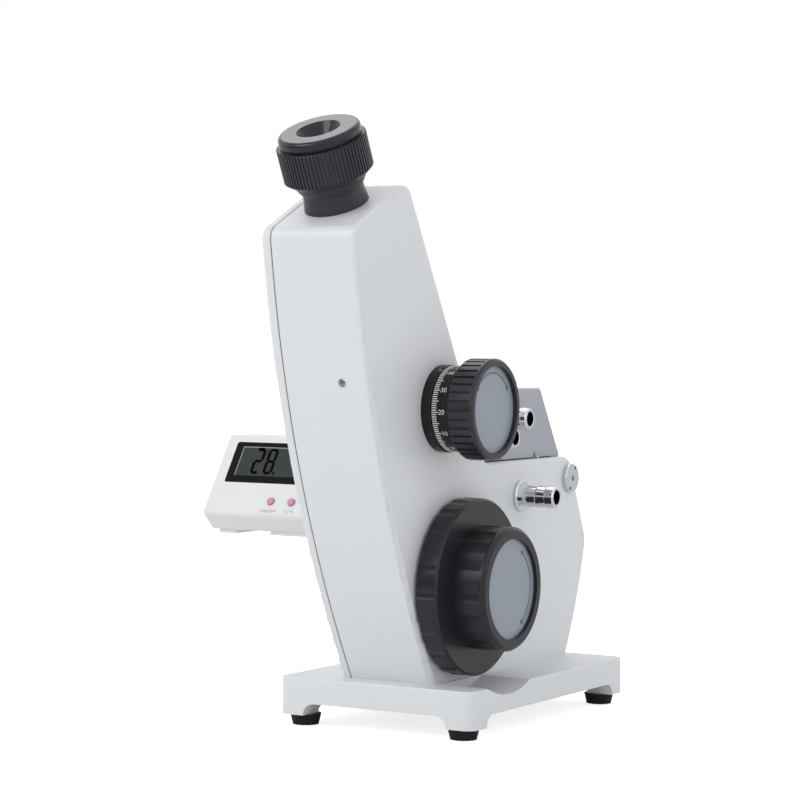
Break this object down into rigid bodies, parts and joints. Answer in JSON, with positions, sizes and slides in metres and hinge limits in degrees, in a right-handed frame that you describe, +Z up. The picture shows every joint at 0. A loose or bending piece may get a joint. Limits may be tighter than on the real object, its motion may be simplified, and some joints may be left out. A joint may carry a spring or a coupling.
{
  "type": "abbe refractometer",
  "caption": "Bench Abbe refractometer: tilted eyepiece, handwheel, dispersion knob, hinged prism pair with hose nipples, and digital thermometer.",
  "frame": {"origin": "centre of the base, on the plane of the rubber feet", "axes": "+Z up; +X to the operator's right, where the handwheel is; +Y away from the operator"},
  "size_m": [0.139, 0.1998, 0.24],
  "materials": {
    "housing_paint": "satin",
    "holder_metal": "satin",
    "black_rubber": "matte",
    "charcoal_plastic": "matte",
    "cap_plastic": "satin",
    "ring_black": "satin",
    "plate_grey": "satin",
    "chrome_trim": "polished",
    "steel": "machined",
    "inner_aluminium": "black anodised inside the light path",
    "bush_brass": "machined",
    "optical_glass": "polished",
    "mirror_glass": "silvered",
    "case_plastic": "satin",
    "lcd_black": "gloss",
    "board_green": "circuit board",
    "cell_steel": "plain",
    "button_pink": "satin"
  },
  "bodies": {
    "root": {"base_casting": "housing_paint", "rubber_feet": "black_rubber", "foot_screws": "steel", "frame_screws": "steel", "housing_casting": "housing_paint", "left_cover": "housing_paint", "cover_screws": "steel", "calibration_screw": "steel", "eyepiece_tube": "ring_black", "graticule_carrier": "inner_aluminium", "telescope_barrel": "inner_aluminium", "fixed_optics": "optical_glass", "reading_tube": "inner_aluminium", "index_ring": "ring_black", "shaft_bushes": "bush_brass", "prism_seat": "holder_metal", "refracting_prism": "optical_glass", "lower_nipples": "chrome_trim", "hinge_pin": "steel", "hinge_caps": "chrome_trim", "thermometer_seat": "chrome_trim", "thermometer_probe": "steel", "thermometer_front_case": "case_plastic", "thermometer_back_case": "case_plastic", "lcd_window": "lcd_black", "display_board": "board_green", "battery": "cell_steel", "battery_cover": "case_plastic", "scale_window": "optical_glass"},
    "eye_barrel": {"eye_lens_barrel": "ring_black", "eyepiece_lenses": "optical_glass"},
    "diopter": {"diopter_ring": "charcoal_plastic", "eye_cap": "cap_plastic"},
    "dispersion_drive": {"dispersion_knob": "charcoal_plastic", "scale_ring": "ring_black", "dispersion_face_plate": "plate_grey", "dispersion_shaft": "steel", "dispersion_pinion": "inner_aluminium"},
    "upper_compensator": {"upper_amici_mount": "inner_aluminium", "upper_amici_prism": "optical_glass"},
    "lower_compensator": {"lower_amici_mount": "inner_aluminium", "lower_amici_prism": "optical_glass"},
    "handwheel_drive": {"handwheel": "charcoal_plastic", "handwheel_face_plate": "plate_grey", "handwheel_shaft": "steel", "drive_pinion": "steel"},
    "scale_arm": {"mirror_holder": "inner_aluminium", "rotating_mirror": "mirror_glass", "sector_arm": "inner_aluminium", "scale_plate": "optical_glass"},
    "upper_prism": {"illuminating_prism_holder": "holder_metal", "illuminating_prism": "optical_glass", "upper_nipples": "chrome_trim"},
    "prism_lock": {"lock_knob": "ring_black", "lock_hook": "steel"},
    "shade": {"window_shade": "holder_metal"},
    "reflector": {"reflector_mirror": "mirror_glass"},
    "light_mirror": {"scale_mirror": "mirror_glass"},
    "power_key": {"power_button": "button_pink"},
    "unit_key": {"unit_button": "button_pink"}
  },
  "joints": [
    {"name": "diopter_slide", "type": "slide", "parent": "root", "child": "eye_barrel", "axis": [0, -0.4384, 0.8988], "range_m": [0, 0.003]},
    {"name": "diopter_turn", "type": "hinge", "parent": "eye_barrel", "child": "diopter", "pos_m": [-0.0004, -0.09556, 0.20596], "axis": [0, -0.4384, 0.8988], "range_deg": [0, 240]},
    {"name": "dispersion_turn", "type": "hinge", "parent": "root", "child": "dispersion_drive", "pos_m": [0.02, -0.05, 0.1276], "axis": [1, 0, 0], "continuous": true},
    {"name": "upper_amici_turn", "type": "hinge", "parent": "root", "child": "upper_compensator", "pos_m": [-0.0004, -0.05, 0.1276], "axis": [0, -0.4384, 0.8988], "continuous": true},
    {"name": "lower_amici_turn", "type": "hinge", "parent": "root", "child": "lower_compensator", "pos_m": [-0.0004, -0.05, 0.1276], "axis": [0, -0.4384, 0.8988], "continuous": true},
    {"name": "handwheel_turn", "type": "hinge", "parent": "root", "child": "handwheel_drive", "pos_m": [0.02, -0.037, 0.0569], "axis": [1, 0, 0], "range_deg": [-125, 125]},
    {"name": "mirror_swing", "type": "hinge", "parent": "root", "child": "scale_arm", "pos_m": [-0.0004, -0.0317, 0.09008], "axis": [1, 0, 0], "range_deg": [-15, 15]},
    {"name": "upper_prism_open", "type": "hinge", "parent": "root", "child": "upper_prism", "pos_m": [0, 0.0594, 0.0954], "axis": [-1, 0, 0], "range_deg": [0, 110]},
    {"name": "lock_turn", "type": "hinge", "parent": "upper_prism", "child": "prism_lock", "pos_m": [-0.015, 0.002, 0.111], "axis": [-1, 0, 0], "range_deg": [0, 85]},
    {"name": "shade_open", "type": "hinge", "parent": "upper_prism", "child": "shade", "pos_m": [-0.0004, 0.04355, 0.13033], "axis": [1, 0, 0], "range_deg": [0, 100]},
    {"name": "reflector_open", "type": "hinge", "parent": "root", "child": "reflector", "pos_m": [0, 0.07387, 0.0743], "axis": [-1, 0, 0], "range_deg": [0, 75]},
    {"name": "scale_mirror_open", "type": "hinge", "parent": "root", "child": "light_mirror", "pos_m": [-0.0226, -0.06386, 0.09277], "axis": [0, 0, 1], "range_deg": [0, 90]},
    {"name": "power_button_press", "type": "slide", "parent": "root", "child": "power_key", "axis": [0, 0.8415, -0.5402], "range_m": [0, 0.0008], "stiffness_N_per_m": 400, "springref_m": -0.0005},
    {"name": "unit_button_press", "type": "slide", "parent": "root", "child": "unit_key", "axis": [0, 0.8415, -0.5402], "range_m": [0, 0.0008], "stiffness_N_per_m": 400, "springref_m": -0.0005}
  ],
  "couplings": [
    {"joint": "diopter_turn", "follows": "diopter_slide", "rad_per_m": 1396.3},
    {"joint": "upper_amici_turn", "follows": "dispersion_turn", "ratio": -1},
    {"joint": "lower_amici_turn", "follows": "dispersion_turn", "ratio": 1},
    {"joint": "mirror_swing", "follows": "handwheel_turn", "ratio": -0.12}
  ]
}
